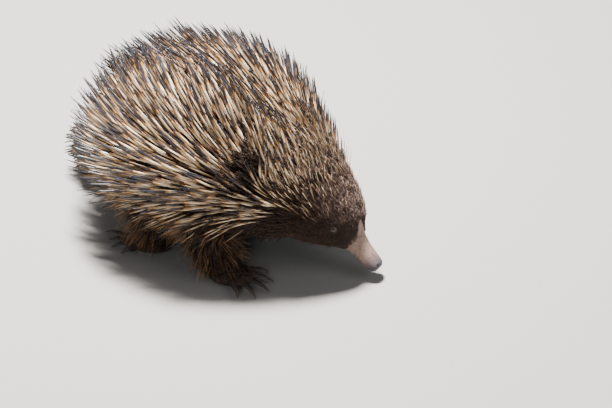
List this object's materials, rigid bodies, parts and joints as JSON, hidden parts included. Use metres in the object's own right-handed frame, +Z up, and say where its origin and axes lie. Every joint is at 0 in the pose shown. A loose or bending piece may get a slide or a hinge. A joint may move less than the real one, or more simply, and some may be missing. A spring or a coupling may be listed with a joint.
{
  "type": "echidna figure",
  "caption": "Life-size short-beaked echidna in mid-stride, domed coat of spines, slender beak lowered to the ground, long-clawed feet flat on the floor.",
  "frame": {"origin": "centre of the bounding box's footprint, on the floor under the soles", "axes": "+X is the way the animal faces, +Y its left side, +Z up"},
  "size_m": [0.3874, 0.264, 0.2078],
  "materials": {
    "spines": "stiff glossy horn spines, cream with an orange-brown band and dark tips, over dark close fur",
    "fur": "short coarse dark brown fur with paler bristles",
    "beak": "bare, finely wrinkled grey-brown skin, darker at the tip",
    "sole": "bare dark grey skin",
    "horn": "polished dark horn, paler along the ridge",
    "eye": "wet black"
  },
  "bodies": {
    "root": {"beak": "beak", "claw_forefoot_left_1": "horn", "claw_forefoot_left_2": "horn", "claw_forefoot_left_3": "horn", "claw_forefoot_left_4": "horn", "claw_forefoot_left_5": "horn", "claw_forefoot_right_1": "horn", "claw_forefoot_right_2": "horn", "claw_forefoot_right_3": "horn", "claw_forefoot_right_4": "horn", "claw_forefoot_right_5": "horn", "claw_hindfoot_left_1": "horn", "claw_hindfoot_left_2": "horn", "claw_hindfoot_left_3": "horn", "claw_hindfoot_left_4": "horn", "claw_hindfoot_left_5": "horn", "claw_hindfoot_right_1": "horn", "claw_hindfoot_right_2": "horn", "claw_hindfoot_right_3": "horn", "claw_hindfoot_right_4": "horn", "claw_hindfoot_right_5": "horn", "ear_left": "fur", "ear_right": "fur", "eye_left": "eye", "eye_right": "eye", "forefoot_left": "sole", "forefoot_right": "sole", "foreleg_left": "fur", "foreleg_right": "fur", "head": "fur", "hindfoot_left": "sole", "hindfoot_right": "sole", "hindleg_left": "fur", "hindleg_right": "fur", "neck": "spines", "rump": "spines", "tail": "spines", "torso": "spines"}
  },
  "joints": []
}
